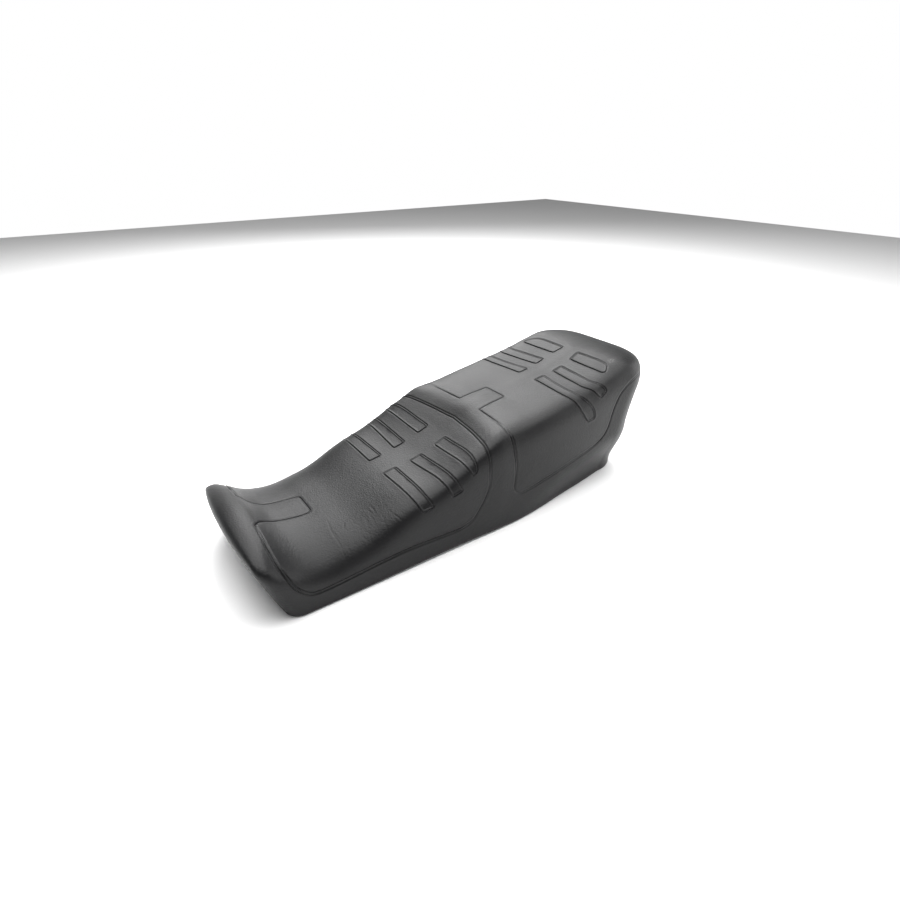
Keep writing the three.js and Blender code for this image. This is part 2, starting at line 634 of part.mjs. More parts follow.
// ---------- Latch striker on the left ----------
function latchStriker() {
  const half = HINGE_LENGTH / 2;
  const ears = [STRIKER_X - half, STRIKER_X + half - STRIKER_EAR].map((x0) =>
    block(
      [x0, -hingeY - STRIKER_ROD_RADIUS * 2, hingeZ - STRIKER_ROD_RADIUS * 1.5],
      [x0 + STRIKER_EAR, plateInnerY + PLATE / 2, hingeZ + STRIKER_ROD_RADIUS * 1.5],
    ),
  );
  const bar = rod("x", [STRIKER_X - half + 1, -hingeY, hingeZ], STRIKER_ROD_RADIUS, HINGE_LENGTH - 2);
  return joined(wallPlate(STRIKER_X, 1, hingeZ - STRIKER_ROD_RADIUS * 1.5), ...ears, bar);
}

// ---------- Prop rod ----------
function propBracket() {
  const inner = BRACKET_GAP / 2;
  const base = block(
    [PROP_X - 18, PROP_Y - inner - PLATE, propPadZ - CLEARANCE - PLATE],
    [PROP_X + 18, PROP_Y + inner + PLATE, propPadZ - CLEARANCE],
  );
  const cheeks = [-1, 1].map((side) => {
    const ys = [PROP_Y + side * inner, PROP_Y + side * (inner + PLATE)].sort((a, b) => a - b);
    return block([PROP_X - 6, ys[0], propPinZ - 6], [PROP_X + 6, ys[1], propPadZ - CLEARANCE - PLATE / 2]);
  });
  const bore = rod("y", [PROP_X, PROP_Y - 20, propPinZ], PROP_PIN_RADIUS + CLEARANCE, 40);
  const holes = BRACKET_X.map((offset) => padHole(PROP_X + offset, PROP_Y, propPadZ - 5));
  return cutBy(joined(base, ...cheeks), bore, ...holes);
}

const propEyeRadius = PROP_PIN_RADIUS + CLEARANCE + PROP_EYE_WALL;
const propEyeHalf = BRACKET_GAP / 2 - CLEARANCE;
const propDirection = new THREE.Vector3(Math.cos(propSlope), 0, -Math.sin(propSlope));
const propStart = new THREE.Vector3(PROP_X, PROP_Y, propPinZ);
const propAt = (distance) => propStart.clone().addScaledVector(propDirection, distance);

// A round bar along a path of points.
function bar(points, radius, steps) {
  const section = new THREE.Shape();
  section.absarc(0, 0, radius, 0, Math.PI * 2);
  const path = new THREE.CatmullRomCurve3(points, false, "centripetal");
  const settings = { steps, curveSegments: 5, bevelEnabled: false, extrudePath: path };
  return solidFrom(new THREE.ExtrudeGeometry(section, settings));
}

function propRod() {
  const eye = rod("y", [PROP_X, PROP_Y - propEyeHalf, propPinZ], propEyeRadius, propEyeHalf * 2);
  const corner = 6;
  const bend = propAt(PROP_LENGTH);
  const across = new THREE.Vector3(0, 1, 0);
  const points = [
    propAt(propEyeRadius - 1.5),
    propAt(PROP_LENGTH * 0.5),
    propAt(PROP_LENGTH - corner * 2),
    propAt(PROP_LENGTH - corner),
    bend.clone().addScaledVector(across, corner),
    bend.clone().addScaledVector(across, corner * 1.5),
    bend.clone().addScaledVector(across, PROP_FOOT),
  ];
  const bore = rod("y", [PROP_X, PROP_Y - 20, propPinZ], PROP_PIN_RADIUS + CLEARANCE, 40);
  return cutBy(joined(eye, bar(points, PROP_RADIUS, 24)), bore);
}

function propTip() {
  const end = propAt(PROP_LENGTH);
  const inner = PROP_RADIUS + CLEARANCE;
  const outer = inner + PROP_TIP_WALL;
  const depth = PROP_FOOT / 2;
  const y = end.y + PROP_FOOT - depth + CLEARANCE;
  return turned("y", [end.x, y, end.z], [
    [inner, 0], [outer, 0], [outer, depth + 2], [0, depth + 2], [0, depth], [inner, depth], [inner, 0],
  ]);
}

const CLIP_WALL = 1.2;
const CLIP_BACK = 5;
const PRONG_FRONT = 3;
const CLIP_FRONT = 15;
function rodClip() {
  const inner = PROP_RADIUS + CLEARANCE;
  const centre = propLineZ(CLIP_X);
  const top = clipPadZ - CLEARANCE;
  const prongs = [-1, 1].map((side) => {
    const ys = [PROP_Y + side * inner, PROP_Y + side * (inner + CLIP_WALL)].sort((a, b) => a - b);
    return block([CLIP_X - CLIP_BACK, ys[0], centre - PROP_RADIUS], [CLIP_X + PRONG_FRONT, ys[1], top]);
  });
  const reach = inner + CLIP_WALL;
  const low = [CLIP_X - CLIP_BACK, PROP_Y - reach, top - CLIP_WALL];
  const bridge = block(low, [CLIP_X + CLIP_FRONT, PROP_Y + reach, top]);
  const hole = padHole(CLIP_X + CLIP_SCREW_X, PROP_Y, clipPadZ - 5);
  return cutBy(joined(bridge, ...prongs), hole);
}

const SCREW_LENGTH = 7;
const downScrew = (x, y, z) =>
  fastener("z", [x, y, z], 1, SCREW_LENGTH, SCREW_RADIUS, SCREW_HEAD_RADIUS, SCREW_HEAD_HEIGHT, 12);

function prop() {
  add("prop_rod", propRod(), ZINC);
  add("prop_tip", propTip(), RUBBER);
  add("prop_bracket", propBracket(), BLACK_STEEL);
  const pinStart = [PROP_X, PROP_Y - BRACKET_GAP / 2 - PLATE, propPinZ];
  const pinLength = BRACKET_GAP + PLATE * 2;
  add("prop_pin", turned("y", pinStart, pinProfile(PROP_PIN_RADIUS, pinLength)), ZINC);
  add("prop_pin_ring", retainingRing("y", pinStart, PROP_PIN_RADIUS, pinLength), ZINC);
  BRACKET_X.forEach((offset, i) => {
    const z = propPadZ - CLEARANCE * 2 - PLATE;
    add(`prop_bracket_screw_${"ab"[i]}`, downScrew(PROP_X + offset, PROP_Y, z), ZINC);
  });
  add("prop_clip", rodClip(), ZINC);
  add("prop_clip_screw", downScrew(CLIP_X + CLIP_SCREW_X, PROP_Y, clipPadZ - CLEARANCE * 2 - CLIP_WALL), ZINC);
}

// ---------- The whole seat ----------
const fixings = [[HINGE_X.front, -1], [HINGE_X.rear, -1], [STRIKER_X, 1]];
add("seat_cover", coverShell(), VINYL);
const fixingRooms = fixings.map(([x, side]) => wallFixingRoom(x, side));
add("foam_cushion", cutBy(solidFrom(foamShell()), ...fixingRooms), FOAM);
add("seat_pan", seatPan(), PAN_PLASTIC);
buffers.forEach((place) => add(place.name, buffer(place), RUBBER));
hinge("front", HINGE_X.front);
hinge("rear", HINGE_X.rear);
add("latch_striker", latchStriker(), ZINC);
wallFixing("latch", STRIKER_X, 1);
prop();

export default seat;
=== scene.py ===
"""A two-up motorcycle seat, laid out as an add-on and run as a script.

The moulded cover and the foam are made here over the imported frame; the fittings under the pan
come from the frame and get their finishes here. Millimetres inside the shape code, metres outside.
"""
import math
import random

import bmesh
import bpy
import numpy as np
from bpy.props import FloatProperty, FloatVectorProperty, PointerProperty
from mathutils import Matrix, Vector, kdtree
from mathutils.bvhtree import BVHTree


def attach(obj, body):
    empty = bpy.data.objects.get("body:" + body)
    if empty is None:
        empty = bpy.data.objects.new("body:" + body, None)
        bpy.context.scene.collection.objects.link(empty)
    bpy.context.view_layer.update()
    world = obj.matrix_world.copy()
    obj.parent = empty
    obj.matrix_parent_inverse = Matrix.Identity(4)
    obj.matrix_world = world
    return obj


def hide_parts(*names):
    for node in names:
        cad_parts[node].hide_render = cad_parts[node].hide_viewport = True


bl_info = {
    "name": "Two-up motorcycle seat",
    "version": (1, 0, 0),
    "blender": (4, 5, 0),
    "location": "View3D > Sidebar > Seat",
    "description": "Builds the moulded cover, the foam and the fittings of a two-up motorcycle seat",
    "category": "Object",
}

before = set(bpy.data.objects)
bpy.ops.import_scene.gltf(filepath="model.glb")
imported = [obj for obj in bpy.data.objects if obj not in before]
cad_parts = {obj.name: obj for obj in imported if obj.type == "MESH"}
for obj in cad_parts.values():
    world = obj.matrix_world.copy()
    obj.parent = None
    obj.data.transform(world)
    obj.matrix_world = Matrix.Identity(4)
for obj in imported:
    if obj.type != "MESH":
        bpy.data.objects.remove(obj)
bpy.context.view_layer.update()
MM = 0.001

# ---------- Shape of the seat, millimetres and shares ----------
LENGTH = 730.0
WIDTH = 264.0
HEIGHT = 217.0
HALF_LENGTH = LENGTH / 2
HALF_WIDTH = WIDTH / 2
COVER_WALL = 2.4
HEM_TURN_IN = 20.0
RIM_CLEARANCE = 1.0
CLEARANCE = 0.3
FRONT_BOW = 9.0
FRONT_CORNER_RADIUS = 18.0
REAR_CORNER_RADIUS = 70.0
WING_REACH = 42.0
WING_LENGTH = 100.0
WING_X = 10.0
FRONT_END_POWER = 14.0
REAR_END_POWER = 8.0
PAN_DEPTH = 44.0
PAN_EDGE = 9.0
PAN_STRAIGHT = 128.0
PAN_FRONT_SETBACK = 62.0
PAN_REAR_SETBACK = 42.0
PAN_CORNER_RADIUS = 30.0
PAN_POWER = 4.0
FOAM_SIDE = 10.0
SPINE_ENDS = (-0.76, 0.88)
REFERENCE_SHARE = 0.6

CROWN = (
    (-1, 0.94), (-0.95, 0.98), (-0.883, 1), (-0.788, 0.98), (-0.69, 0.925), (-0.586, 0.866),
    (-0.468, 0.827), (-0.282, 0.776), (-0.129, 0.737), (-0.033, 0.654), (0.047, 0.585), (0.164, 0.512),
    (0.23, 0.484), (0.356, 0.447), (0.556, 0.369), (0.68, 0.358), (0.753, 0.364), (0.822, 0.382),
    (0.866, 0.418), (0.9, 0.462), (0.925, 0.48), (0.955, 0.488), (1, 0.482),
)
# How far the top rises, or falls, towards the sides.
DISH = (
    (-1, -0.012), (-0.86, -0.004), (-0.75, 0.03), (-0.62, 0.05), (-0.45, 0.042), (-0.28, 0.025),
    (-0.13, 0.012), (-0.02, 0.05), (0.08, 0.055), (0.2, 0.048), (0.4, 0.04), (0.56, 0.036),
    (0.7, 0.008), (0.8, -0.03), (0.9, -0.1), (0.96, -0.11), (1, -0.11),
)
BELT = (
    (-1, 0.5), (-0.84, 0.48), (-0.68, 0.42), (-0.56, 0.364), (-0.32, 0.28), (-0.04, 0.24),
    (0.11, 0.16), (0.22, 0.138), (0.41, 0.166), (0.59, 0.143), (0.82, 0.115), (1, 0.115),
)
SIDE_POWER = (
    (-1, 6.5), (-0.84, 8), (-0.34, 9), (-0.12, 7.5), (0, 6), (0.12, 6.4), (0.25, 6), (0.38, 4.4),
    (0.52, 2.9), (0.67, 2.3), (0.78, 2.3), (0.87, 3.4), (0.93, 5.5), (1, 9),
)
HEM_HALF = (
    (-1, 0.62), (-0.86, 0.68), (-0.61, 0.8), (-0.44, 0.87), (-0.3, 0.935), (-0.14, 0.985),
    (0.1, 0.992), (1, 0.992),
)
TOP_HALF = ((-1, 0.94), (-0.6, 0.97), (-0.3, 0.995), (1, 0.995))
FRONT_LEAN = ((0, 0.894), (0.115, 0.922), (0.226, 0.946), (0.364, 0.975), (0.45, 0.985), (1, 0.985))
REAR_LEAN = (
    (0, 0.953), (0.15, 0.94), (0.29, 0.932), (0.48, 0.932), (0.68, 0.964), (0.82, 0.995), (1, 1),
)
HEM_ARCH = ((-0.4, 0), (-0.2, 0), (0.3, 0.012), (0.78, 0), (1, 0))
DECK_RISE = (
    (-1, 0.39), (-0.85, 0.37), (-0.6, 0.325), (-0.3, 0.275), (-0.1, 0.215), (0.1, 0.135),
    (0.3, 0.045), (0.5, 0), (0.7, 0), (1, 0),
)


def mix(a, b, t):
    return a + (b - a) * t


def smooth(t):
    t = np.clip(t, 0.0, 1.0)
    return t * t * (3 - 2 * t)


def curve_through(knots):
    """A smooth curve through points given in order of their first number."""
    xs = np.array([k[0] for k in knots], float)
    ys = np.array([k[1] for k in knots], float)
    before = np.r_[0, np.arange(len(xs) - 1)]
    after = np.r_[np.arange(1, len(xs)), len(xs) - 1]
    slopes = (ys[after] - ys[before]) / (xs[after] - xs[before])

    def curve(value):
        at = np.clip(np.asarray(value, float), xs[0], xs[-1])
        k = np.clip(np.searchsorted(xs, at, side="right") - 1, 0, len(xs) - 2)
        span = xs[k + 1] - xs[k]
        t = (at - xs[k]) / span
        start = (1 + 2 * t) * (1 - t) ** 2 * ys[k] + t * (1 - t) ** 2 * span * slopes[k]
        end = t * t * (3 - 2 * t) * ys[k + 1] + t * t * (t - 1) * span * slopes[k + 1]
        return start + end

    return curve


def along(knots, scale):
    curve = curve_through(knots)
    return lambda x: scale * curve(np.asarray(x) / HALF_LENGTH)


crown_line = along(CROWN, HEIGHT)
dish_line = along(DISH, HEIGHT)
belt_line = along(BELT, HEIGHT)
side_power = along(SIDE_POWER, 1.0)
hem_half = along(HEM_HALF, HALF_WIDTH)
top_half = along(TOP_HALF, HALF_WIDTH)
hem_rise = along(HEM_ARCH, HEIGHT)
deck_rise = along(DECK_RISE, HEIGHT)
front_lean = curve_through(FRONT_LEAN)
rear_lean = curve_through(REAR_LEAN)


def hem_line(x):
    return np.maximum(0.0, hem_rise(x))


def deck_line(x):
    return PAN_DEPTH + np.maximum(0.0, deck_rise(x))


def crown_at(x, y):
    """Height of the top; the step comes further forward at the sides than in the middle."""
    across = (y / HALF_WIDTH) ** 2
    near = np.exp(-(((x - WING_X) / WING_LENGTH) ** 2))
    return crown_line(x - WING_REACH * across * near) + dish_line(x) * across


class CoverForm:
    """The outside of the cover: a crowned top inside a wall that leans and narrows to the rear."""
    bow = FRONT_BOW
    front_radius = FRONT_CORNER_RADIUS
    rear_radius = REAR_CORNER_RADIUS
    front_power = FRONT_END_POWER
    rear_power = REAR_END_POWER
    reference = REFERENCE_SHARE * HEIGHT

    def front(self, z):
        return HALF_LENGTH * front_lean(z / HEIGHT)

    def rear(self, z):
        return -HALF_LENGTH * rear_lean(z / HEIGHT)

    def half(self, x, z):
        return mix(hem_half(x), top_half(x), smooth(z / belt_line(x)))

    def crown(self, x, y):
        return crown_at(x, y)

    def belt(self, x):
        return belt_line(x)

    def power(self, x):
        return side_power(x)

    def foot(self, x):
        return hem_line(x)


class PanForm:
    """The outside of the pan: a deck with rounded edges inside an upright wall."""
    bow = 0.0
    front_radius = PAN_CORNER_RADIUS
    rear_radius = PAN_CORNER_RADIUS
    front_power = PAN_POWER
    rear_power = PAN_POWER
    reference = 0.0

    def front(self, z):
        return HALF_LENGTH - PAN_FRONT_SETBACK + 0 * z

    def rear(self, z):
        return -HALF_LENGTH + PAN_REAR_SETBACK + 0 * z

    def half(self, x, z):
        return np.minimum(hem_half(x), PAN_STRAIGHT) - COVER_WALL - FOAM_SIDE + 0 * z

    def crown(self, x, y):
        return deck_line(x) + 0 * y

    def belt(self, x):
        return deck_line(x) - PAN_EDGE

    def power(self, x):
        return PAN_POWER + 0 * x

    def foot(self, x):
        return hem_line(x) + COVER_WALL + RIM_CLEARANCE


COVER = CoverForm()
PAN = PanForm()


# ---------- A form as a table of points ----------
# Zones round the left half, from the middle of the front to the middle of the rear, with coarse steps.
ZONES = (("front", 26), ("front_corner", 6), ("side", 128), ("rear_corner", 22), ("rear", 12))
PLAIN_ZONES = (("front", 13), ("front_corner", 5), ("side", 64), ("rear_corner", 11), ("rear", 6))
LEVELS = 58
FINE = 8
END_SHARE = {"front": lambda t: 1 + 0 * t, "front_corner": lambda t: 1 - t, "side": lambda t: 0 * t,
             "rear_corner": lambda t: t, "rear": lambda t: 1 + 0 * t}


def outline(form, zone, t, z, inset):
    """Plan point of a station of a zone, at height z, moved inwards by inset. Arrays broadcast."""
    front = form.front(z) - inset
    rear = form.rear(z) + inset
    front_r = max(form.front_radius - inset, 4.0)
    rear_r = max(form.rear_radius - inset, 4.0)
    front_half = form.half(front - front_r, z) - inset - front_r
    rear_half = form.half(rear + rear_r, z) - inset - rear_r
    angle = t * math.pi / 2
    if zone == "front":
        x, y = front + 0 * t, front_half * t
        x = x + form.bow * np.maximum(0, 1 - (y / HALF_WIDTH) ** 2)
    elif zone == "front_corner":
        x, y = front - front_r * (1 - np.cos(angle)), front_half + front_r * np.sin(angle)
        x = x + form.bow * np.maximum(0, 1 - (y / HALF_WIDTH) ** 2) * np.cos(angle)
    elif zone == "side":
        x = mix(front - front_r, rear + rear_r, t)
        y = form.half(x, z) - inset
    elif zone == "rear_corner":
        x, y = rear + rear_r * (1 - np.sin(angle)), rear_half + rear_r * np.cos(angle)
    else:
        x, y = rear + 0 * t, rear_half * (1 - t)
    return x, y


WALL_STEPS = 60
SHOULDER_STEPS = 220
TOP_STEPS = 160
SHOULDER_END = math.radians(80)


def zone_profiles(form, zone, t, levels, inset, lift):
    """A zone's sections, evenly stepped from the foot to the spine: shape (stations, levels, 3)."""
    t = t[:, None]
    x0, y0 = outline(form, zone, t, form.reference + 0 * t, inset)
    spine = np.clip(x0, HALF_LENGTH * SPINE_ENDS[0], HALF_LENGTH * SPINE_ENDS[1])
    end_power = form.front_power if zone.startswith("front") else form.rear_power
    power = mix(form.power(x0), end_power, END_SHARE[zone](t))
    belt = form.belt(x0)
    wall_z = mix(form.foot(x0) + lift, belt, np.linspace(0, 1, WALL_STEPS)[None, :])
    wx, wy = outline(form, zone, t + 0 * wall_z, wall_z, inset)
    angle = SHOULDER_END * np.linspace(0, 1, SHOULDER_STEPS)[None, 1:] ** (power / 2)
    reach_end = math.cos(SHOULDER_END) ** (2 / power)
    inwards = reach_end * np.linspace(1, 0, TOP_STEPS)[None, 1:]
    reach = np.concatenate([np.cos(angle) ** (2 / power), inwards], 1)
    rise = (1 - np.clip(reach, 0, 1) ** power) ** (1 / power)
    crown = form.crown(mix(spine, x0, reach), y0 * reach) - inset
    top_z = mix(belt, crown, rise)
    tx, ty = outline(form, zone, t + 0 * top_z, top_z, inset)
    xs = np.concatenate([wx, mix(spine, tx, reach)], 1)
    dense = np.stack([xs, np.concatenate([wy, ty * reach], 1), np.concatenate([wall_z, top_z], 1)], 2)
    reached = np.cumsum(np.linalg.norm(np.diff(dense, axis=1, prepend=dense[:, :1]), axis=2), 1)
    made = np.empty((len(dense), levels, 3))
    for row, (points, run) in enumerate(zip(dense, reached)):
        wanted = np.linspace(0, run[-1], levels)
        for axis in range(3):
            made[row, :, axis] = np.interp(wanted, run, points[:, axis])
    return made


def half_table(form, fine, levels, inset=0.0, lift=0.0, zones=ZONES):
    """The left half of a form as sections, from the middle of the front to the middle of the rear."""
    parts = [zone_profiles(form, zone, np.arange(steps * fine) / (steps * fine), levels, inset, lift)
             for zone, steps in zones]
    parts.append(zone_profiles(form, "rear", np.array([1.0]), levels, inset, lift))
    table = np.concatenate(parts)
    table[[0, -1], :, 1] = 0
    table[:, -1, 1] = 0
    return table


def foot_ring(form, fine, inset, lift, zones=ZONES):
    """The left half of the ring at the foot of a form's wall, moved in and up."""
    run = [(zone, np.arange(steps * fine) / (steps * fine)) for zone, steps in zones]
    run.append(("rear", np.array([1.0])))
    rings = []
    for zone, t in run:
        x0, _ = outline(form, zone, t, form.reference + 0 * t, inset)
        z = form.foot(x0) + lift
        x, y = outline(form, zone, t, z, inset)
        rings.append(np.stack([x, y, z], 1))
    ring = np.concatenate(rings)
    ring[[0, -1], 1] = 0
    return ring


# ---------- Lines pressed into the skin, left half, each point (x, y, z, corner radius) ----------
RIBS = {
    "rider_1": ((18, 24, 128, 5), (24, 90, 136, 30), (28, 116, 134, 10), (32, 128, 120, 6),
                (41, 128, 116, 4), (42, 110, 123, 20), (38, 24, 120, 4)),
    "rider_2": ((63, 24, 111, 5), (65, 78, 116, 40), (65, 118, 114, 12), (59, 130, 99, 4),
                (77, 130, 94, 4), (81, 112, 108, 16), (83, 60, 108, 40), (84, 24, 106, 4)),
    "rider_3": ((108, 22, 101, 5), (111, 80, 103, 40), (112, 115, 100, 12), (107, 128, 88, 4),
                (126, 127, 85, 4), (130, 108, 96, 16), (130, 60, 98, 40), (130, 22, 98, 4)),
    "passenger_3": ((-172, 20, 179, 4), (-168, 55, 180, 20), (-162, 92, 180, 16), (-163, 114, 178, 10),
                    (-172, 127, 164, 12), (-191, 129, 138, 5), (-209, 128, 140, 5), (-207, 128, 152, 10),
                    (-198, 127, 166, 12), (-181, 117, 178, 10), (-179, 90, 183, 20), (-185, 55, 183, 20),
                    (-192, 20, 183, 4)),
    "passenger_2": ((-212, 21, 187, 4), (-205, 65, 187, 20), (-199, 105, 186, 10), (-219, 126, 172, 5),
                    (-235, 123, 181, 5), (-221, 100, 191, 10), (-227, 62, 192, 20), (-231, 22, 192, 4)),
    "passenger_1": ((-252, 21, 200, 4), (-249, 98, 199, 5), (-256, 101, 200, 5), (-273, 88, 206, 10),
                    (-276, 64, 208, 20), (-274, 17, 208, 4)),
}
# A seam's points also say how far its two grooves stand apart there, 0 for a single one.
RIDER_SEAM = (
    (248, 0, 77, 4, 0), (248, 23, 77, 6, 0), (262, 26, 78, 20, 0), (297, 24, 82, 24, 0),
    (318, 27, 93, 16, 0), (331, 42, 99, 2, 0), (330, 65, 97, 20, 0.5), (331, 83, 92, 30, 1),
    (330, 99, 86, 20, 1), (328, 117, 76, 16, 1), (322, 129, 58, 16, 1), (312, 131, 41, 14, 1),
    (297, 131, 28, 12, 1), (273, 131, 27, 40, 1), (214, 132, 32, 60, 1), (160, 132, 36, 60, 1),
    (110, 132, 34, 60, 1), (64, 132, 32, 16, 0.8), (42, 132, 37, 16, 0.3), (28, 132, 53, 20, 0),
    (16, 132, 72, 30, 0), (10, 132, 88, 14, 0.1), (9, 131, 110, 12, 0.6), (9, 130, 126, 8, 1),
    (7, 117, 145, 10, 1), (1, 90, 148, 30, 1), (-9, 55, 145, 40, 1), (-14, 20, 144, 40, 1),
    (-16, 0, 144, 60, 1),
)
PASSENGER_SEAM = (
    (-102, 0, 168, 4, 0), (-102, 24, 168, 4, 0), (-47, 27, 160, 2, 0), (-42, 75, 161, 40, 0),
    (-36, 110, 161, 14, 0.4), (-35, 125, 151, 12, 1), (-37, 130, 133, 12, 1), (-40, 131, 114, 20, 0.6),
    (-41, 132, 84, 30, 0), (-39, 132, 64, 9, 0), (-50, 132, 53, 8, 0.2), (-76, 132, 54, 40, 0.6),
    (-115, 131, 62, 60, 0.6), (-173, 130, 74, 60, 0.4), (-215, 129, 83, 30, 0.2), (-240, 128, 95, 20, 0),
    (-251, 127, 113, 24, 0), (-256, 127, 140, 30, 0), (-268, 126, 166, 30, 0.1), (-286, 124, 180, 30, 0.3),
    (-304, 123, 187, 40, 0.5), (-318, 120, 190, 40, 0.6), (-331, 113, 190, 40, 0.6),
    (-343, 104, 190, 40, 0.6), (-352, 92, 190, 40, 0.6), (-358, 79, 190, 40, 0.6),
    (-362, 65, 190, 40, 0.6), (-363, 43, 190, 40, 0.6), (-363, 20, 190, 40, 0.6), (-363, 0, 190, 40, 0.6),
)
STEP = 0.8
SEAM_GAP = 1.9


def rounded(points, closed):
    """Samples a run of points with its corners rounded, about STEP apart."""
    points = np.array(points, float)
    places, radii = points[:, :3], points[:, 3]
    extra = points[:, 4:] if points.shape[1] > 4 else np.zeros((len(points), 1))
    full = np.concatenate([places, extra], 1)
    count = len(full)
    run = []
    for k in range(count):
        before, after = full[k - 1], full[(k + 1) % count]
        if not closed and k in (0, count - 1):
            run.append(full[k])
            continue
        into, out = before - full[k], after - full[k]
        into_length, out_length = np.linalg.norm(into[:3]), np.linalg.norm(out[:3])
        start = full[k] + into * min(radii[k] / into_length, 0.48)
        end = full[k] + out * min(radii[k] / out_length, 0.48)
        for t in np.linspace(0, 1, 9):
            run.append((1 - t) ** 2 * start + 2 * t * (1 - t) * full[k] + t * t * end)
    if closed:
        run.append(run[0])
    run = np.array(run)
    lengths = np.linalg.norm(np.diff(run[:, :3], axis=0), axis=1)
    reached = np.r_[0, np.cumsum(lengths)]
    steps = max(4, int(reached[-1] / STEP))
    wanted = np.linspace(0, reached[-1], steps + 1)
    sampled = np.stack([np.interp(wanted, reached, run[:, axis]) for axis in range(run.shape[1])], 1)
    return sampled[:-1] if closed else sampled


TINY = 1e-9


class Lines:
    """A set of lines laid on the skin, which says how near any place is to them."""

    def __init__(self, runs, closed, surface):
        self.points, self.before, self.after, self.value, self.loops = [], [], [], [], []
        for run in runs:
            first = len(self.points)
            for x, y, z, value in run[:, :4]:
                self.points.append(surface.find_nearest(Vector((x, y, z)))[0][:])
                self.value.append(value)
            count = len(self.points) - first
            steps = np.arange(count)
            ends = (-1) % count if closed else 0
            self.before += list(first + np.where(steps > 0, steps - 1, ends))
            self.after += list(first + np.where(steps < count - 1, steps + 1, 0 if closed else count - 1))
            self.loops.append(np.array(self.points[first:]))
        self.points = np.array(self.points)
        self.value = np.array(self.value)
        self.tree = kdtree.KDTree(len(self.points))
        for k, point in enumerate(self.points):
            self.tree.insert(point, k)
        self.tree.balance()

    def rough(self, places):
        return np.array([self.tree.find(place)[2] for place in places])

    def near(self, places):
        """The distance to the nearest line and that line's value there."""
        found = np.array([self.tree.find(place)[1] for place in places])
        best = np.full(len(places), np.inf)
        for other in (np.array(self.before)[found], np.array(self.after)[found]):
            a, b = self.points[found], self.points[other]
            span = b - a
            length = np.maximum(np.einsum("ij,ij->i", span, span), TINY)
            t = np.einsum("ij,ij->i", places - a, span) / length
            foot = a + span * np.clip(t, 0, 1)[:, None]
            best = np.minimum(best, np.linalg.norm(places - foot, axis=1))
        return best, self.value[found]


def inside(loop, places):
    """True where a place is inside a loop, both flattened by how far out and down they are."""
    lx, lq = loop[:, 0], loop[:, 1] - loop[:, 2]
    px, pq = places[:, 0], places[:, 1] - places[:, 2]
    within = np.zeros(len(places), bool)
    near = (px > lx.min()) & (px < lx.max()) & (pq > lq.min()) & (pq < lq.max())
    x, q = px[near], pq[near]
    hits = np.zeros(len(x), bool)
    for (x0, q0), (x1, q1) in zip(zip(lx, lq), zip(np.roll(lx, -1), np.roll(lq, -1))):
        crossing = (q0 > q) != (q1 > q)
        hits ^= crossing & (x < (x1 - x0) * (q - q0) / (q1 - q0 if q1 != q0 else 1e-9) + x0)
    within[near] = hits
    return within


def hump(distance, width):
    return np.exp(-(distance / width) ** 2)


CREASE_COUNT = 34
CREASE_START = 165.0
CREASE_PITCH = 2.3
CREASE_TOP = (66, 116)
CREASE_REACH = (7, 24)
CREASE_LEAN = (-13, 8)
CREASE_PRESS = (0.15, 0.38)
LONG_CREASE = (
    (238, 57, 75, 20, 0.1), (243, 80, 72, 20, 0.35), (240, 104, 62, 20, 0.3), (244, 124, 46, 4, 0),
)


def crease_lines():
    """Fine creases over the shoulder of the rider's part, and one long one."""
    draw = random.Random(11)
    creases = [LONG_CREASE]
    for k in range(CREASE_COUNT):
        x = CREASE_START + CREASE_PITCH * k + draw.uniform(-3, 3)
        y = draw.uniform(*CREASE_TOP)
        reach = draw.uniform(*CREASE_REACH)
        lean = draw.uniform(*CREASE_LEAN)
        depth = draw.uniform(*CREASE_PRESS)
        middle = (x + lean * 0.5 + draw.uniform(-1, 1), y + reach * 0.5)
        start = (x, y, crown_at(x, y), 4, 0)
        end = (x + lean, y + reach, crown_at(x, y) - reach * 0.8, 4, 0)
        creases.append((start, (*middle, crown_at(*middle) - reach * 0.3, 8, depth), end))
    return [rounded(crease, False) for crease in creases]


# ---------- The skin as a mesh ----------
def fitting_cells(table, sets):
    """Splits the table into cells, small near the lines. Gives (row, column, size) for each."""
    rows, columns = table.shape[0] - 1, table.shape[1] - 1
    i, j = np.meshgrid(np.arange(0, rows, FINE), np.arange(0, columns, FINE), indexing="ij")
    cells = np.stack([i.ravel(), j.ravel()], 1)
    size = FINE
    kept = []
    while size > 1:
        half = size // 2
        centres = table[cells[:, 0] + half, cells[:, 1] + half]
        corner = np.linalg.norm(table[cells[:, 0], cells[:, 1]] - centres, axis=1)
        split = np.zeros(len(cells), bool)
        for lines, reach, smallest in sets:
            if size > smallest:
                split |= lines.rough(centres) < corner + reach
        kept += [(a, b, size) for a, b in cells[~split]]
        small = cells[split]
        cells = np.concatenate([small + offset for offset in ((0, 0), (half, 0), (0, half), (half, half))])
        size = half
    return kept + [(a, b, 1) for a, b in cells]


def cell_faces(table, cells):
    """Faces of the cells, each with every corner that a smaller neighbour has on its edge."""
    used = np.zeros(table.shape[:2], bool)
    for a, b, size in cells:
        used[a:a + size + 1:size, b:b + size + 1:size] = True
    number = np.full(table.shape[:2], -1)
    number[used] = np.arange(used.sum())
    places = table[used]
    faces = []
    for a, b, size in cells:
        ring = [number[a + s, b] for s in range(size)]
        ring += [number[a + size, b + s] for s in range(size)]
        ring += [number[a + size - s, b + size] for s in range(size)]
        ring += [number[a, b + size - s] for s in range(size)]
        faces.append([n for n in ring if n >= 0])
    return places, faces, used, number


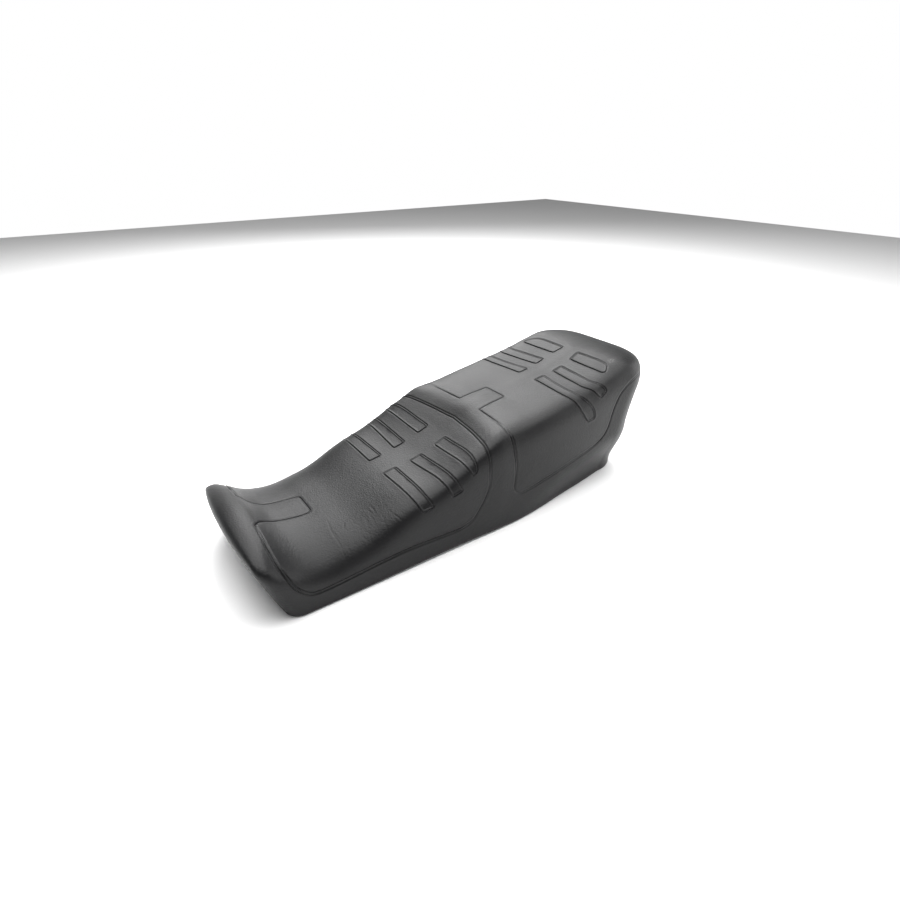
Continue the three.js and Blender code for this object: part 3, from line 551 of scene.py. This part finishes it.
def mesh_normals(places, faces):
    mesh = bpy.data.meshes.new("measure")
    mesh.from_pydata(places.tolist(), [], faces)
    normals = np.empty(len(places) * 3, np.float32)
    mesh.vertices.foreach_get("normal", normals)
    bpy.data.meshes.remove(mesh)
    normals = normals.reshape(-1, 3).astype(float)
    middle = np.abs(places[:, 1]) < 1e-6
    normals[middle, 1] = 0
    return normals / np.maximum(np.linalg.norm(normals, axis=1), TINY)[:, None]


# Half widths, millimetres, of the bumps and hollows that make up a line, and how far each lies from it.
RIB_GROOVE_WIDTH = 0.8
RIB_GROOVE_AT = 0.2
RIB_BEAD_WIDTH = 0.85
RIB_BEAD_AT = -1.7
PAD_EDGE_AT = 0.5
PAD_EDGE_RUN = 2.5
SWELL_HEIGHT = 0.15
SWELL_WIDTH = 1.4
SWELL_AT = 2.6
SINGLE_SEAM_SCALE = 1.15
SINGLE_SEAM_WIDTH = 0.9
SEAM_GROOVE_WIDTH = 0.85
SEAM_BEAD_SCALE = 1.2
SEAM_BEAD_WIDTH = 0.95
SEAM_SWELL_HEIGHT = 0.22
SEAM_SWELL_AT = 2.2
SEAM_SWELL_WIDTH = 1.5
SEAM_SINK_WIDTH = 7.0
PANEL_BULGE_RUN = 24.0


def pressed(places, ribs, seams, sizes):
    """How far each place stands out from the plain skin."""
    out = np.zeros(len(places))
    distance, _ = ribs.near(places)
    within = np.zeros(len(places), bool)
    for loop in ribs.loops:
        within |= inside(loop, places)
    signed = np.where(within, -distance, distance)
    groove = sizes.groove_depth / MM
    bead = sizes.bead_height / MM
    out -= groove * hump(signed - RIB_GROOVE_AT, RIB_GROOVE_WIDTH)
    out += bead * hump(signed - RIB_BEAD_AT, RIB_BEAD_WIDTH)
    out += sizes.pad_lift / MM * smooth((PAD_EDGE_AT - signed) / PAD_EDGE_RUN)
    out += SWELL_HEIGHT * hump(signed - SWELL_AT, SWELL_WIDTH)
    distance, gap = seams.near(places)
    out -= groove * SINGLE_SEAM_SCALE * (1 - gap) * hump(distance, SINGLE_SEAM_WIDTH)
    out -= groove * gap * hump(distance - SEAM_GAP, SEAM_GROOVE_WIDTH)
    out += bead * SEAM_BEAD_SCALE * gap * hump(distance, SEAM_BEAD_WIDTH)
    out += SEAM_SWELL_HEIGHT * hump(distance - SEAM_GAP - SEAM_SWELL_AT, SEAM_SWELL_WIDTH)
    out -= sizes.seam_sink / MM * hump(distance, SEAM_SINK_WIDTH)
    out += sizes.panel_bulge / MM * (1 - hump(distance, PANEL_BULGE_RUN))
    return out


def make_object(name, places, faces, merge=0.02):
    """A mesh object from millimetre places, at the origin, with its doubles merged."""
    mesh = bpy.data.meshes.new(name)
    mesh.from_pydata((np.asarray(places) * MM).tolist(), [], faces)
    work = bmesh.new()
    work.from_mesh(mesh)
    bmesh.ops.remove_doubles(work, verts=work.verts, dist=merge * MM)
    bmesh.ops.delete(work, geom=[v for v in work.verts if not v.link_faces], context="VERTS")
    work.to_mesh(mesh)
    work.free()
    made = bpy.data.objects.new(name, mesh)
    bpy.context.scene.collection.objects.link(made)
    mesh.polygons.foreach_set("use_smooth", [True] * len(mesh.polygons))
    return made


def strip_faces(rings, starts):
    """Faces between consecutive rings of the same length; each later ring lies below the one before."""
    faces = []
    for upper, lower in zip(starts, starts[1:]):
        faces += [(lower + k, lower + k + 1, upper + k + 1, upper + k) for k in range(rings - 1)]
    return faces


HEM_ROUND = 1.2


def cover_mesh(sizes):
    """The cover: outside with its lines, rolled hem, turned-in lip and inside, as one closed skin."""
    table = half_table(COVER, FINE, LEVELS * FINE + 1, lift=HEM_ROUND)
    coarse = table[::FINE, ::FINE]
    rows, columns = coarse.shape[:2]
    quads = [(i * columns + j, (i + 1) * columns + j, (i + 1) * columns + j + 1, i * columns + j + 1)
             for i in range(rows - 1) for j in range(columns - 1)]
    surface = BVHTree.FromPolygons(coarse.reshape(-1, 3).tolist(), quads)
    ribs = Lines([rounded(rib, True) for rib in RIBS.values()], True, surface)
    seam_runs = [rounded(RIDER_SEAM, False), rounded(PASSENGER_SEAM, False)]
    seams = Lines(seam_runs, False, surface)
    creases = Lines(crease_lines(), False, surface)
    cells = fitting_cells(table, ((ribs, 2.6, 1), (seams, 3.4, 1), (creases, 1.6, 2)))
    places, faces, used, number = cell_faces(table, cells)
    normals = mesh_normals(places, faces)
    out = pressed(places, ribs, seams, sizes)
    distance, depth = creases.near(places)
    fold = hump(distance, 1.1) - 0.5 * hump(distance - 2.2, 1.3)
    creased = out - sizes.crease_depth * depth * fold
    left = places + normals * creased[:, None]
    right = (places + normals * out[:, None]) * np.array([1.0, -1.0, 1.0])
    stations = np.nonzero(used[:, 0])[0]
    outer = number[stations, 0]
    turns = (0.5, 1.05, math.pi / 2)
    profile = [(HEM_ROUND * (1 - math.cos(a)), HEM_ROUND * (1 - math.sin(a))) for a in turns]
    profile += [(6, 0), (12, 0), (HEM_TURN_IN - 1, 0), (HEM_TURN_IN, HEM_ROUND)]
    profile += [(HEM_TURN_IN - 1, COVER_WALL), (12, COVER_WALL), (6, COVER_WALL)]
    rings = [foot_ring(COVER, FINE, inset, lift)[stations] for inset, lift in profile]
    within = half_table(COVER, FINE, 30, inset=COVER_WALL, lift=COVER_WALL)[stations]
    rings += [within[:, level] for level in range(within.shape[1])]
    extra = np.concatenate(rings)
    count = len(stations)
    base = len(places)
    below = [(base + k, base + k + 1, outer[k + 1], outer[k]) for k in range(count - 1)]
    below += strip_faces(count, [base + r * count for r in range(len(rings))])
    half_faces = [list(map(int, face)) for face in faces + below]
    total = base + len(extra)
    mirrored = [[n + total for n in reversed(face)] for face in half_faces]
    every = np.concatenate([left, extra, right, extra * np.array([1.0, -1.0, 1.0])])
    return every, half_faces + mirrored


def shell_mesh(outer, inner):
    """A closed half body between two tables of the same shape, mirrored into a whole one."""
    rows, columns = outer.shape[:2]
    total = rows * columns
    faces = []
    for i in range(rows - 1):
        for j in range(columns - 1):
            a, b = i * columns + j, (i + 1) * columns + j
            faces.append([a, b, b + 1, a + 1])
            faces.append([total + a + 1, total + b + 1, total + b, total + a])
        a, b = i * columns, (i + 1) * columns
        faces.append([total + a, total + b, b, a])
    places = np.concatenate([outer.reshape(-1, 3), inner.reshape(-1, 3)])
    mirrored = [[n + 2 * total for n in reversed(face)] for face in faces]
    return np.concatenate([places, places * np.array([1.0, -1.0, 1.0])]), faces + mirrored


# ---------- Node building ----------
class Nodes:
    """Short ways to add and join the nodes of one material."""

    def __init__(self, name, **shader):
        self.material = bpy.data.materials.new(name)
        self.material.use_nodes = True
        self.tree = self.material.node_tree
        self.shader = self.tree.nodes["Principled BSDF"]
        for socket, value in shader.items():
            self.shader.inputs[socket.replace("_", " ")].default_value = value
        self.place = self.add("ShaderNodeTexCoord").outputs["Object"]

    def add(self, kind, **settings):
        node = self.tree.nodes.new(kind)
        for key, value in settings.items():
            setattr(node, key, value)
        return node

    def link(self, source, target):
        self.tree.links.new(source, target)

    def fill(self, node, values):
        for socket, value in values.items():
            if hasattr(value, "is_linked"):
                self.link(value, node.inputs[socket])
            else:
                node.inputs[socket].default_value = value
        return node

    def noise(self, scale, detail=3.0, roughness=0.5):
        node = self.add("ShaderNodeTexNoise")
        values = {"Vector": self.place, "Scale": scale, "Detail": detail, "Roughness": roughness}
        self.fill(node, values)
        return node.outputs["Fac"]

    def cells(self, scale, feature="F1"):
        node = self.add("ShaderNodeTexVoronoi", feature=feature)
        self.fill(node, {"Vector": self.place, "Scale": scale})
        return node.outputs["Distance"]

    def math(self, operation, a, b=0.0, clamp=False):
        node = self.add("ShaderNodeMath", operation=operation, use_clamp=clamp)
        return self.fill(node, {0: a, 1: b}).outputs[0]

    def ramp(self, value, *stops):
        """A grey value between two stops of (place, value)."""
        node = self.add("ShaderNodeValToRGB")
        for element, (place, grey) in zip(node.color_ramp.elements, stops):
            element.position = place
            element.color = (grey,) * 3 + (1,)
        self.link(value, node.inputs[0])
        return node.outputs["Color"]

    def blend(self, share, a, b):
        node = self.add("ShaderNodeMix", data_type="RGBA")
        self.fill(node, {0: share, 6: a, 7: b})
        return node.outputs[2]

    def spot(self, centre, radius):
        """1 at a place, falling to 0 at a radius round it."""
        node = self.fill(self.add("ShaderNodeVectorMath", operation="DISTANCE"), {0: self.place, 1: centre})
        return self.math("SUBTRACT", 1.0, self.math("DIVIDE", node.outputs["Value"], radius), clamp=True)

    def bump(self, height, distance, strength=1.0, normal=None):
        node = self.add("ShaderNodeBump")
        self.fill(node, {"Height": height, "Distance": distance, "Strength": strength})
        if normal is not None:
            self.link(normal, node.inputs["Normal"])
        return node.outputs["Normal"]

    def finish(self, colour=None, roughness=None, normal=None, metallic=None):
        for socket, value in (("Base Color", colour), ("Roughness", roughness), ("Normal", normal),
                              ("Metallic", metallic)):
            if value is not None:
                self.link(value, self.shader.inputs[socket])
        return self.material


def rgba(colour, scale=1.0):
    return tuple(c * scale for c in colour[:3]) + (1.0,)


SCUFF_PLACE = (-0.285, 0.085, 0.205)
SCUFF_RADIUS = 0.010
SCUFF_COLOUR = (0.32, 0.32, 0.31)


def vinyl_material(looks):
    n = Nodes("moulded_vinyl", Specular_IOR_Level=0.24)
    patches = n.noise(9.0, 4.0, 0.6)
    uneven = n.ramp(patches, (0.3, 0.0), (0.7, 1.0))
    colour = n.blend(uneven, rgba(looks.vinyl_colour, 0.8), rgba(looks.vinyl_colour, 1.25))
    flecks = n.ramp(n.noise(700.0, 3.0), (0.52, 0.0), (0.6, 1.0))
    worn = n.math("MULTIPLY", n.spot(SCUFF_PLACE, SCUFF_RADIUS), flecks)
    colour = n.blend(worn, colour, rgba(SCUFF_COLOUR))
    grain = n.cells(1500.0, "SMOOTH_F1")
    fine = n.noise(2600.0, 2.0)
    rough = n.math("MULTIPLY_ADD", patches, 0.16)
    rough.node.inputs[2].default_value = looks.vinyl_roughness - 0.08
    rough = n.math("ADD", rough, n.math("MULTIPLY", grain, 0.06))
    height = n.math("ADD", grain, n.math("MULTIPLY", fine, 0.3))
    normal = n.bump(height, 0.00012, 0.55)
    normal = n.bump(n.noise(420.0, 2.0), 0.0009, 0.4, normal)
    normal = n.bump(n.noise(70.0, 3.0), 0.0006, 0.25, normal)
    return n.finish(colour, rough, normal)


def foam_material(looks):
    n = Nodes("moulded_foam", Specular_IOR_Level=0.2)
    colour = n.blend(n.noise(30.0, 4.0), rgba(looks.foam_colour, 0.7), rgba(looks.foam_colour, 1.1))
    normal = n.bump(n.cells(900.0), 0.0006, 0.8)
    rough = n.ramp(n.noise(200.0), (0.3, 0.85), (0.7, 1.0))
    return n.finish(colour, rough, normal)


def plastic_material(looks):
    n = Nodes("pan_plastic", Specular_IOR_Level=0.45)
    colour = n.blend(n.noise(14.0, 5.0), rgba(looks.plastic_colour, 0.75), rgba(looks.plastic_colour, 1.3))
    normal = n.bump(n.noise(1200.0, 2.0), 0.00015, 0.7)
    rough = n.ramp(n.noise(25.0, 4.0), (0.3, 0.5), (0.7, 0.66))
    return n.finish(colour, rough, normal)


def rubber_material():
    n = Nodes("black_rubber", Specular_IOR_Level=0.3)
    colour = n.blend(n.noise(60.0, 4.0), (0.012, 0.012, 0.012, 1), (0.03, 0.03, 0.029, 1))
    normal = n.bump(n.noise(900.0, 3.0), 0.0002, 0.6)
    rough = n.ramp(n.noise(80.0), (0.3, 0.72), (0.7, 0.9))
    return n.finish(colour, rough, normal)


def painted_material():
    n = Nodes("black_painted_steel", Specular_IOR_Level=0.5)
    chips = n.ramp(n.noise(160.0, 6.0, 0.7), (0.66, 0.0), (0.69, 1.0))
    colour = n.blend(chips, (0.016, 0.016, 0.018, 1), (0.25, 0.25, 0.26, 1))
    normal = n.bump(n.noise(500.0, 2.0), 0.0002, 0.35)
    rough = n.ramp(n.noise(40.0), (0.3, 0.32), (0.7, 0.5))
    return n.finish(colour, rough, normal, chips)


def zinc_material():
    n = Nodes("zinc_plated_steel", Metallic=1.0)
    stains = n.noise(45.0, 5.0, 0.6)
    colour = n.blend(n.ramp(stains, (0.4, 0.0), (0.7, 1.0)), (0.62, 0.63, 0.64, 1), (0.48, 0.46, 0.40, 1))
    normal = n.bump(n.noise(700.0, 2.0), 0.00008, 0.5)
    rough = n.ramp(n.noise(120.0, 4.0), (0.3, 0.24), (0.7, 0.45))
    return n.finish(colour, rough, normal)


# ---------- Sizes and colours that a user would change ----------
def distance_property(name, description, default, highest):
    """A length given here in millimetres and kept by Blender in metres."""
    return FloatProperty(name=name, description=description, default=default * MM, min=0.0,
                         max=highest * MM, subtype="DISTANCE", unit="LENGTH")


def factor_property(name, description, default, highest):
    return FloatProperty(name=name, description=description, default=default, min=0.0,
                         max=highest, subtype="FACTOR")


class SeatSizes(bpy.types.PropertyGroup):
    groove_depth: distance_property("Groove depth", "Depth of the pressed lines", 1.0, 1.4)
    bead_height: distance_property("Bead height", "Height of the bead beside a line", 1.0, 1.5)
    pad_lift: distance_property("Pad lift", "Height of a rib's face over the skin", 0.12, 2.0)
    seam_sink: distance_property("Seam sink", "Depth of the hollow along a seam", 0.5, 0.8)
    panel_bulge: distance_property("Panel bulge", "Fullness between the seams", 0.9, 4.0)
    crease_depth: factor_property("Crease depth", "Scale of the creases on the rider's shoulder", 1.0, 2.0)


def colour_property(name, description, default):
    return FloatVectorProperty(name=name, description=description, default=default,
                               subtype="COLOR", size=3, min=0.0, max=1.0)


class SeatLooks(bpy.types.PropertyGroup):
    vinyl_colour: colour_property("Vinyl", "Colour of the cover", (0.0045, 0.0045, 0.0049))
    foam_colour: colour_property("Foam", "Colour of the foam", (0.55, 0.43, 0.2))
    plastic_colour: colour_property("Pan", "Colour of the pan", (0.02, 0.02, 0.022))
    floor_colour: colour_property("Floor", "Colour of the floor", (0.93, 0.93, 0.93))
    vinyl_roughness: factor_property("Vinyl roughness", "Roughness of the cover", 0.4, 1.0)


def settings():
    return bpy.context.scene.seat_sizes, bpy.context.scene.seat_looks


def give(piece, material):
    piece.data.materials.clear()
    piece.data.materials.append(material)


# ---------- Operators ----------
class SEAT_OT_cover(bpy.types.Operator):
    """Makes the moulded vinyl cover with its ribs, seams and turned-in hem"""
    bl_idname = "seat.cover"
    bl_label = "Cover"

    def execute(self, context):
        sizes, looks = settings()
        places, faces = cover_mesh(sizes)
        cover = make_object("vinyl_cover", places, faces)
        give(cover, vinyl_material(looks))
        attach(cover, "seat")
        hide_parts("seat_cover")
        return {"FINISHED"}


class SEAT_OT_foam(bpy.types.Operator):
    """Makes the moulded foam between the cover and the pan"""
    bl_idname = "seat.foam"
    bl_label = "Foam"

    def execute(self, context):
        _, looks = settings()
        gap = COVER_WALL + CLEARANCE
        outer = half_table(COVER, 1, 40, inset=gap, lift=COVER_WALL + RIM_CLEARANCE, zones=PLAIN_ZONES)
        inner = half_table(PAN, 1, 40, inset=-CLEARANCE, zones=PLAIN_ZONES)
        foam = make_object("foam_block", *shell_mesh(outer, inner))
        give(foam, foam_material(looks))
        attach(foam, "seat")
        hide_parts("foam_cushion")
        return {"FINISHED"}


STAPLE_SIZE = (10.0, 1.3, 0.6)
STAPLE_PITCH = 26.0
STAPLE_INSET = 12.0
STAPLE_TILT = 0.25
STAPLE_BEVEL = 0.2
STAPLE_SIGHT = 4.0


def staple_places():
    """Where each staple goes round the turned-in hem, and the way that the hem runs there."""
    half = foot_ring(COVER, FINE, STAPLE_INSET, 0.0)
    ring = np.concatenate([half, (half * np.array([1.0, -1.0, 1.0]))[-2:0:-1]])
    run = np.r_[0, np.cumsum(np.linalg.norm(np.diff(ring, axis=0), axis=1))]
    places = []
    for want in np.arange(STAPLE_PITCH / 2, run[-1], STAPLE_PITCH):
        place, ahead = ([float(np.interp(at, run, ring[:, axis])) for axis in range(3)]
                        for at in (want, want + STAPLE_SIGHT))
        places.append((place, math.atan2(ahead[1] - place[1], ahead[0] - place[0])))
    return places


class SEAT_OT_staples(bpy.types.Operator):
    """Sets the staples that hold the turned-in hem, evenly round the rim"""
    bl_idname = "seat.staples"
    bl_label = "Staples"

    def execute(self, context):
        bpy.ops.object.select_all(action="DESELECT")
        bpy.ops.mesh.primitive_cube_add(size=MM, scale=STAPLE_SIZE)
        first = context.object
        bpy.ops.object.mode_set(mode="EDIT")
        bpy.ops.mesh.select_all(action="SELECT")
        bpy.ops.mesh.bevel(offset=STAPLE_BEVEL * MM, segments=2)
        bpy.ops.object.mode_set(mode="OBJECT")
        bpy.ops.object.transform_apply(location=True, rotation=True, scale=True)
        draw = random.Random(5)
        made = []
        for place, way in staple_places():
            angle = way + draw.uniform(-STAPLE_TILT, STAPLE_TILT)
            staple = first.copy()
            staple.data = first.data.copy()
            turn = Matrix.Rotation(angle, 4, "Z")
            staple.data.transform(Matrix.Translation(Vector(place) * MM) @ turn)
            context.scene.collection.objects.link(staple)
            made.append(staple)
        bpy.data.objects.remove(first)
        bpy.ops.object.select_all(action="DESELECT")
        for staple in made:
            staple.select_set(True)
        context.view_layer.objects.active = made[0]
        bpy.ops.object.join()
        staples = made[0]
        staples.name = "hem_staples"
        give(staples, zinc_material())
        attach(staples, "seat")
        return {"FINISHED"}


class SEAT_OT_fittings(bpy.types.Operator):
    """Gives the pan and the fittings under it their finishes"""
    bl_idname = "seat.fittings"
    bl_label = "Fittings"

    def execute(self, context):
        _, looks = settings()
        plastic = plastic_material(looks)
        rubber = rubber_material()
        painted = painted_material()
        zinc = zinc_material()
        for name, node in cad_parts.items():
            if name in ("seat_cover", "foam_cushion"):
                continue
            if name == "seat_pan":
                finish = plastic
            elif "buffer" in name or name == "prop_tip":
                finish = rubber
            elif "leaf" in name or name == "prop_bracket":
                finish = painted
            else:
                finish = zinc
            for k in range(len(node.material_slots)):
                node.material_slots[k].material = finish
        return {"FINISHED"}


CAMERA_PLACE = (0.4596, 0.6749, 0.54)
CAMERA_RIGHT = (-0.82145, 0.57028, 0.0)
CAMERA_UP = (-0.27647, -0.39823, 0.87463)
CAMERA_BACK = (0.49878, 0.71846, 0.48479)
CAMERA_LENS = 22.4
FLOOR_HALF = 4.0
ROOM_EDGES = (0.2, 0.5)
ROOM_GREYS = (1.0, 0.08)
ROOM_BRIGHTNESS = 1.0


# Name, place and aim in metres, width in metres, watts.
LAMPS = (
    ("overhead", (-0.1, -0.25, 2.3), (0, 0, 0.1), 3.0, 125),
    ("far_side", (-0.9, -1.9, 1.8), (0, 0, 0.15), 1.8, 60),
    ("tail_side", (-1.5, 0.7, 0.8), (-0.3, 0.1, 0.1), 1.6, 18),
)
SENSOR_WIDTH = 36
NEAR_CLIP = 0.01


def soft_light(name, place, target, size, power):
    light = bpy.data.lights.new(name, "AREA")
    light.shape = "DISK"
    light.size = size
    light.energy = power
    lamp = bpy.data.objects.new(name, light)
    aim = (Vector(target) - Vector(place)).to_track_quat("-Z", "Y")
    lamp.matrix_world = Matrix.Translation(place) @ aim.to_matrix().to_4x4()
    bpy.context.scene.collection.objects.link(lamp)


def studio_world():
    """A pale room, bright low down all round and dim from above eye height to the ceiling light."""
    world = bpy.data.worlds.new("studio")
    world.use_nodes = True
    tree = world.node_tree
    place = tree.nodes.new("ShaderNodeTexCoord").outputs["Generated"]
    split = tree.nodes.new("ShaderNodeSeparateXYZ")
    tree.links.new(place, split.inputs[0])
    ramp = tree.nodes.new("ShaderNodeValToRGB")
    for element, position, grey in zip(ramp.color_ramp.elements, ROOM_EDGES, ROOM_GREYS):
        element.position = position
        element.color = (grey,) * 3 + (1,)
    tree.links.new(split.outputs["Z"], ramp.inputs[0])
    background = tree.nodes["Background"]
    tree.links.new(ramp.outputs["Color"], background.inputs["Color"])
    background.inputs["Strength"].default_value = ROOM_BRIGHTNESS
    return world


class SEAT_OT_stage(bpy.types.Operator):
    """Adds the floor, the soft lights and the camera"""
    bl_idname = "seat.stage"
    bl_label = "Stage"

    def execute(self, context):
        _, looks = settings()
        scene = bpy.context.scene
        bpy.ops.object.select_all(action="DESELECT")
        bpy.ops.mesh.primitive_plane_add(size=FLOOR_HALF * 2, location=(0, 0, -HEM_ROUND * MM))
        floor = bpy.context.object
        floor.name = "studio_floor"
        n = Nodes("studio_white", Roughness=0.9, Specular_IOR_Level=0.1)
        n.shader.inputs["Base Color"].default_value = rgba(looks.floor_colour)
        give(floor, n.material)
        scene.world = studio_world()
        scene.view_settings.view_transform = "Standard"
        for lamp in LAMPS:
            soft_light(*lamp)
        camera_data = bpy.data.cameras.new("camera")
        camera_data.sensor_width = SENSOR_WIDTH
        camera_data.lens = CAMERA_LENS
        camera_data.clip_start = NEAR_CLIP
        camera = bpy.data.objects.new("camera", camera_data)
        turn = Matrix((CAMERA_RIGHT, CAMERA_UP, CAMERA_BACK)).transposed()
        camera.matrix_world = Matrix.Translation(CAMERA_PLACE) @ turn.to_4x4()
        scene.collection.objects.link(camera)
        scene.camera = camera
        return {"FINISHED"}


OPERATORS = (SEAT_OT_stage, SEAT_OT_cover, SEAT_OT_foam, SEAT_OT_staples, SEAT_OT_fittings)


class SEAT_PT_panel(bpy.types.Panel):
    """Lists the makers and the sizes"""
    bl_idname = "SEAT_PT_panel"
    bl_label = "Motorcycle seat"
    bl_space_type = "VIEW_3D"
    bl_region_type = "UI"
    bl_category = "Seat"

    def draw(self, context):
        for operator in OPERATORS:
            self.layout.operator(operator.bl_idname)
        for group in (context.scene.seat_sizes, context.scene.seat_looks):
            for key in group.bl_rna.properties.keys():
                if key not in ("rna_type", "name"):
                    self.layout.prop(group, key)


CLASSES = (SeatSizes, SeatLooks) + OPERATORS + (SEAT_PT_panel,)


def register():
    for cls in CLASSES:
        bpy.utils.register_class(cls)
    bpy.types.Scene.seat_sizes = PointerProperty(type=SeatSizes)
    bpy.types.Scene.seat_looks = PointerProperty(type=SeatLooks)


def unregister():
    del bpy.types.Scene.seat_looks
    del bpy.types.Scene.seat_sizes
    for cls in reversed(CLASSES):
        bpy.utils.unregister_class(cls)


def main():
    register()
    for operator in OPERATORS:
        group, action = operator.bl_idname.split(".")
        getattr(getattr(bpy.ops, group), action)()


if __name__ == "__main__":
    main()
